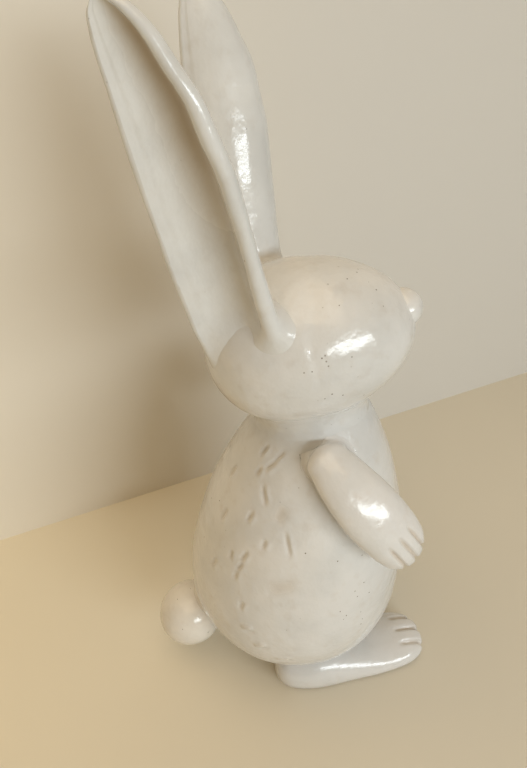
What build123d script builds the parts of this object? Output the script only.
from build123d import *
import math
import os

# A standing rabbit in glazed earthenware, hand-built from hollow bowls, cut slabs and solid lumps.
# It faces -Y, +Z is up, and the origin is on the table under the middle of its bounding box.

# Body: a hollow egg made of two bowls, leaning forward over the feet
body_radius = 62.5
body_half_height = 103.0
body_sink = 11.0
body_centre_back = 6.0
body_lean = 9.0
body_tip_forward_share = 0.10
body_taper_share = 0.30
body_roundness = 2.9
body_wall = 7.0
body_seam_share = -0.26
vent_diameter = 11.0

# Head: a hollow egg with its nose up, turned a little to the rabbit's right
head_radius = 42.0
head_half_length = 54.5
head_sink = 21.7
head_behind_tip = 5.3
head_tilt = 10.0
head_turn = 10.0
head_taper_share = 0.08
head_roundness = 2.25
head_wall = 6.5
head_seam_share = 0.06
neck_passage_diameter = 26.0

# Neck: a coil of clay smoothed hollow into the crease between the head and the body
neck_inner_share = 0.288
neck_thickness = 10.0
neck_flare = 4.0
neck_depth = 24.0
neck_sink = 18.0
neck_behind_tip = 3.3
neck_lean = 8.0

# Nose: a small lump pressed onto the tip of the head
nose_radius = 10.8
nose_sink = 6.0
nose_lift = 6.5

# Ears: leaf-shaped slabs, troughed, with a rolled front rim; places are from the head's centre
ear_width = 43.0
ear_thickness = 6.0
ear_trough_depth = 9.5
ear_front_root = (37.0, 13.2, 22.6)
ear_back_root = (21.0, 48.3, 3.3)
right_ear_tip = (51.4, 64.7, 152.2)
left_ear_tip = (46.0, 46.5, 154.0)
trough_back_power = 1.2
trough_front_power = 0.8
ear_outline_shares = (0.0, 0.2, 0.4, 0.6, 0.8, 1.0)
ear_slope_share = 0.02
ear_station_shares = (-0.12, 0.04, 0.25, 0.40, 0.52, 0.63, 0.73, 0.82, 0.89, 0.94, 0.975, 0.992)
ear_front_shares = (0.38, 0.385, 0.42, 0.455, 0.475, 0.46, 0.43, 0.36, 0.285, 0.20, 0.12, 0.05)
ear_back_shares = (-0.46, -0.48, -0.44, -0.40, -0.36, -0.31, -0.27, -0.23, -0.20, -0.165, -0.12, -0.06)
ear_depth_shares = (0.80, 0.90, 1.00, 1.00, 0.95, 0.85, 0.72, 0.58, 0.42, 0.28, 0.14, 0.06)
ear_gauge_shares = (1.15, 1.10, 1.00, 1.00, 1.00, 0.97, 0.93, 0.88, 0.80, 0.72, 0.64, 0.55)

# Arms: flat paddles luted on at the shoulder and standing off the belly. Places are the left arm's: across and
# back as shares of the body's radius, and how far under the body's tip
arm_width = 34.0
arm_thickness = 19.0
arm_across_shares = (0.536, 0.8032, 0.952, 0.968)
arm_back_shares = (-0.04, -0.248, -0.4736, -0.76)
arm_drops = (26.6, 42.2, 60.0, 86.8)
arm_outward = (0.90, -0.40, 0.10)
arm_station_shares = (0.0, 0.03, 0.12, 0.28, 0.46, 0.62, 0.78, 0.89, 0.96, 0.99)
arm_width_shares = (0.36, 0.58, 0.76, 0.90, 1.00, 1.00, 0.93, 0.79, 0.57, 0.34)
arm_gauge_shares = (0.60, 0.80, 0.95, 1.00, 1.00, 1.00, 0.96, 0.84, 0.60, 0.36)
finger_groove_shares = (-0.27, 0.0, 0.27)
finger_groove_length = 26.0
finger_groove_lift_share = 0.40
finger_groove_dip = 14.0
groove_radius = 2.0

# Feet: long flat loaves that carry the body
foot_length = 107.0
foot_width = 45.0
foot_spread_share = 1.024
foot_heel_back = 34.5
foot_toe_in = 4.0
left_foot_setback = 6.0
foot_height = 18.0
instep_height = 31.0
instep_end_share = 0.24
toe_start_share = 0.76
foot_end_share = 0.015
foot_roundness = 3.2
foot_middle_share = 0.36
toe_groove_shares = (-0.24, 0.0, 0.24)
toe_groove_length = 30.0
toe_groove_height_share = 0.90

# Tail: a solid ball on a thin collar of slip, low on the back
tail_radius = 21.5
tail_back_share = 0.80
tail_stand_off = 8.5
tail_drop = 2.0
tail_seat_angle = 38.0
tail_collar_radius = 11.0
tail_collar_thickness = 5.0

# Reach that carries a cutting shape clear through what it cuts
overrun = 30.0


def egg_radius(radius, taper_share, low_roundness, share):
    """Radius of an egg at a share of its half length, from -1 at the blunt end to +1."""
    roundness = low_roundness if share < 0 else 2
    swell = math.sqrt(max(1 - abs(share) ** roundness, 0))
    return radius * swell * (1 - taper_share * share)


def egg(radius, half_length, taper_share, low_roundness):
    """Solid egg about Z, centred on the origin, with its narrower end up."""
    steps = 14
    points = []
    for step in range(steps + 1):
        share = -math.cos(math.pi * step / steps)
        points.append((egg_radius(radius, taper_share, low_roundness, share), 0, half_length * share))
    outline = Spline(*points, tangents=((1, 0, 0), (-1, 0, 0)))
    half_section = make_face([outline, Line(points[-1], points[0])])
    return revolve(half_section, Axis.Z, 360)


def halves(shell, reach, seam_height):
    """Cuts a shell about Z into what lies under and what lies over its seam."""
    cutter = Box(2 * reach, 2 * reach, 2 * reach)
    under = shell & Pos(0, 0, seam_height - reach) * cutter
    over = shell & Pos(0, 0, seam_height + reach) * cutter
    return under, over


def on_side(place, side):
    """A place or direction given for the left side, on the side asked: +1 left, -1 right."""
    return Vector(side * place[0], place[1], place[2])


# The body stands on the insteps, the head and the neck on the body's tip, and the tail behind the body
body_base_height = instep_height - body_sink
body_centre_height = body_base_height + body_half_height
body_tip_height = body_centre_height + body_half_height
head_centre_height = body_tip_height + head_radius - head_sink
neck_centre_height = body_tip_height - neck_sink
neck_inner_radius = neck_inner_share * body_radius
neck_waist_radius = neck_inner_radius + neck_thickness
neck_flare_radius = neck_waist_radius + neck_flare
body_tip_back = body_centre_back - body_tip_forward_share * body_half_height
head_centre_back = body_tip_back + head_behind_tip
neck_centre_back = body_tip_back + neck_behind_tip
nose_reach = head_half_length - nose_sink
foot_spread = foot_spread_share * body_radius
tail_height = body_base_height + tail_radius - tail_drop
tail_back = body_centre_back + tail_back_share * body_radius + tail_radius + tail_stand_off

tail_end = tail_back + tail_radius
toe_end = foot_heel_back - foot_length
centring = Pos(0, -(tail_end + toe_end) / 2, 0)


# The two bowls of the body, open to each other, with a vent in the base and an open neck
def make_body(head_outside):
    inner_radius = body_radius - body_wall
    inner_half_height = body_half_height - body_wall
    shell = egg(body_radius, body_half_height, body_taper_share, body_roundness)
    shell -= egg(inner_radius, inner_half_height, body_taper_share, body_roundness)
    shell -= Pos(0, 0, -body_half_height) * Cylinder(vent_diameter / 2, 2 * overrun)
    lower, upper = halves(shell, 2 * body_half_height, body_seam_share * body_half_height)
    return body_place * lower, body_place * upper - head_outside


# The two bowls of the head, open to each other and down through the neck
def make_head():
    inner_radius = head_radius - head_wall
    inner_half_length = head_half_length - head_wall
    shell = egg(head_radius, head_half_length, head_taper_share, head_roundness)
    shell -= egg(inner_radius, inner_half_length, head_taper_share, head_roundness)
    back, front = halves(shell, 2 * head_half_length, head_seam_share * head_half_length)
    passage = body_place * Pos(0, 0, body_half_height) * Cylinder(neck_passage_diameter / 2, 2 * overrun)
    return head_place * back - passage, head_place * front - passage


# The coil that fills the crease of the neck, waisted, and ending on both eggs
def make_neck_coil(head_outside, body_outside):
    under = neck_depth / -2
    over = neck_depth / 2
    waist = ThreePointArc((neck_flare_radius, 0, under), (neck_waist_radius, 0, 0), (neck_flare_radius, 0, over))
    rest = Polyline((neck_flare_radius, 0, over), (neck_inner_radius, 0, over),
                    (neck_inner_radius, 0, under), (neck_flare_radius, 0, under))
    coil = revolve(make_face([waist, rest]), Axis.Z, 360)
    place = centring * Pos(0, neck_centre_back, neck_centre_height) * Rot(neck_lean, 0, 0)
    return place * coil - head_outside - body_outside


def trough_point(back_edge, width, depth, gauge, share, medial):
    """Point of the slab's section at a share of its width, gauge / 2 to the medial side of its middle."""
    near = max(share - ear_slope_share, 0)
    far = min(share + ear_slope_share, 1)
    deepest = trough_back_power / (trough_back_power + trough_front_power)
    peak = deepest ** trough_back_power * (1 - deepest) ** trough_front_power

    def bed(at):
        return depth * at ** trough_back_power * (1 - at) ** trough_front_power / peak

    run = (far - near) * width
    rise = bed(far) - bed(near)
    length = math.hypot(run, rise)
    x = back_edge + share * width - gauge / 2 * rise / length
    y = bed(share) + gauge / 2 * run / length
    return (x, medial * y)


def ear_section(back_edge, front_edge, depth, gauge, medial):
    """Crescent section of an ear, with rounded rims, opening away from the medial side."""
    width = front_edge - back_edge
    outer = []
    inner = []
    for share in ear_outline_shares:
        outer.append(trough_point(back_edge, width, depth, gauge, share, medial))
        inner.insert(0, trough_point(back_edge, width, depth, -gauge, share, medial))
    front_rim = (front_edge + gauge / 2, 0)
    back_rim = (back_edge - gauge / 2, 0)
    rims = [ThreePointArc(outer[-1], front_rim, inner[0]), ThreePointArc(inner[-1], back_rim, outer[0])]
    return make_face([Spline(*outer), rims[0], Spline(*inner), rims[1]])


# One ear: sections set along a straight spine from its root on the head to its tip
def make_ear(tip_place, side, head_outside):
    front = on_side(ear_front_root, side)
    back = on_side(ear_back_root, side)
    root = (front + back) / 2
    spine = on_side(tip_place, side) - root
    along = spine.normalized()
    across = front - back
    across = (across - along * across.dot(along)).normalized()
    shares = zip(ear_station_shares, ear_back_shares, ear_front_shares, ear_depth_shares, ear_gauge_shares)
    sections = []
    for station, back_share, front_share, depth_share, gauge_share in shares:
        station_plane = Plane(origin=root + spine * station, x_dir=across, z_dir=along)
        gauge = ear_thickness * gauge_share
        section = ear_section(back_share * ear_width, front_share * ear_width,
                              ear_trough_depth * depth_share, gauge, -side)
        sections.append(station_plane * section)
    return head_frame * loft(sections) - head_outside


# One arm: oval sections along a bent path, with three grooves between four fingers
def make_arm(side, body_outside, neck_coil):
    places = []
    for across_share, back_share, drop in zip(arm_across_shares, arm_back_shares, arm_drops):
        back = body_centre_back + back_share * body_radius
        places.append(on_side((across_share * body_radius, back, body_tip_height - drop), side))
    path = Spline(*places)
    outward = on_side(arm_outward, side)
    sections = []
    for station, width_share, gauge_share in zip(arm_station_shares, arm_width_shares, arm_gauge_shares):
        along = path.tangent_at(station)
        across = along.cross(outward).normalized()
        oval = Ellipse(arm_width * width_share / 2, arm_thickness * gauge_share / 2)
        sections.append(Plane(origin=path.position_at(station), x_dir=across, z_dir=along) * oval)
    arm = loft(sections)
    along = path.tangent_at(1)
    hand_face = Plane(origin=path.position_at(1), x_dir=along.cross(outward).normalized(), z_dir=along)
    for share in finger_groove_shares:
        place = Pos(share * arm_width, -finger_groove_lift_share * arm_thickness, -finger_groove_length / 2)
        arm -= hand_face * place * Rot(-finger_groove_dip, 0, 0) * Cylinder(groove_radius, finger_groove_length)
    return centring * arm - body_outside - neck_coil


# One foot: rounded sections from heel to toe, flat underneath, with three grooves between four toes
def make_foot(side, body_outside):
    steps = 12
    sections = []
    for step in range(steps + 1):
        share = foot_end_share + (1 - 2 * foot_end_share) * (1 - math.cos(math.pi * step / steps)) / 2
        swell = (1 - abs(2 * share - 1) ** foot_roundness) ** (1 / foot_roundness)
        fall = min(1, max(0, (share - instep_end_share) / (toe_start_share - instep_end_share)))
        rise = instep_height + (foot_height - instep_height) * fall
        middle_height = rise * foot_middle_share
        oval = Ellipse(foot_width / 2 * swell, (rise - middle_height) * swell)
        sections.append(Plane(origin=(0, -foot_length * share, middle_height),
                              x_dir=(1, 0, 0), z_dir=(0, -1, 0)) * oval)
    foot = loft(sections)
    for share in toe_groove_shares:
        groove = Rot(90, 0, 0) * Cylinder(groove_radius, toe_groove_length)
        foot -= Pos(share * foot_width, -foot_length, foot_height * toe_groove_height_share) * groove
    heel_back = foot_heel_back + (left_foot_setback if side > 0 else 0)
    place = centring * Pos(side * foot_spread / 2, heel_back, 0) * Rot(0, 0, -side * foot_toe_in)
    sunk = place * Pos(0, -foot_length / 2, -overrun / 2) * Box(2 * foot_length, 2 * foot_length, overrun)
    return place * foot - sunk - body_outside


# The tail: a ball, and the collar of slip that holds it to the back
def make_tail(body_outside):
    place = centring * Pos(0, tail_back, tail_height)
    ball = place * Sphere(tail_radius) - body_outside
    seat_depth = math.sqrt(tail_radius ** 2 - tail_collar_radius ** 2)
    seat = place * Rot(90 - tail_seat_angle, 0, 0) * Pos(0, 0, seat_depth)
    collar = seat * Torus(tail_collar_radius, tail_collar_thickness / 2)
    return ball, collar - ball - body_outside


body_place = centring * Pos(0, body_centre_back, body_centre_height) * Rot(body_lean, 0, 0)
head_frame = centring * Pos(0, head_centre_back, head_centre_height) * Rot(0, 0, -head_turn)
head_place = head_frame * Rot(90 - head_tilt, 0, 0)

body_outside = body_place * egg(body_radius, body_half_height, body_taper_share, body_roundness)
head_outside = head_place * egg(head_radius, head_half_length, head_taper_share, head_roundness)

pieces = {}
pieces["body_lower_bowl"], pieces["body_upper_bowl"] = make_body(head_outside)
pieces["head_back_bowl"], pieces["head_front_bowl"] = make_head()
pieces["neck_coil"] = make_neck_coil(head_outside, body_outside)
pieces["nose_pellet"] = head_place * Pos(0, nose_lift, nose_reach) * Sphere(nose_radius) - head_outside
pieces["ear_right"] = make_ear(right_ear_tip, -1, head_outside)
pieces["ear_left"] = make_ear(left_ear_tip, 1, head_outside)
pieces["arm_right"] = make_arm(-1, body_outside, pieces["neck_coil"])
pieces["arm_left"] = mirror(pieces["arm_right"], about=Plane.YZ)
pieces["foot_right"] = make_foot(-1, body_outside)
pieces["foot_left"] = make_foot(1, body_outside)
pieces["tail_ball"], pieces["tail_collar"] = make_tail(body_outside)

os.makedirs("parts", exist_ok=True)
for name, shape in pieces.items():
    export_step(shape, "parts/" + name + ".step")
    box = shape.bounding_box()
    print(name, len(shape.solids()), round(shape.volume), box.min, box.max)
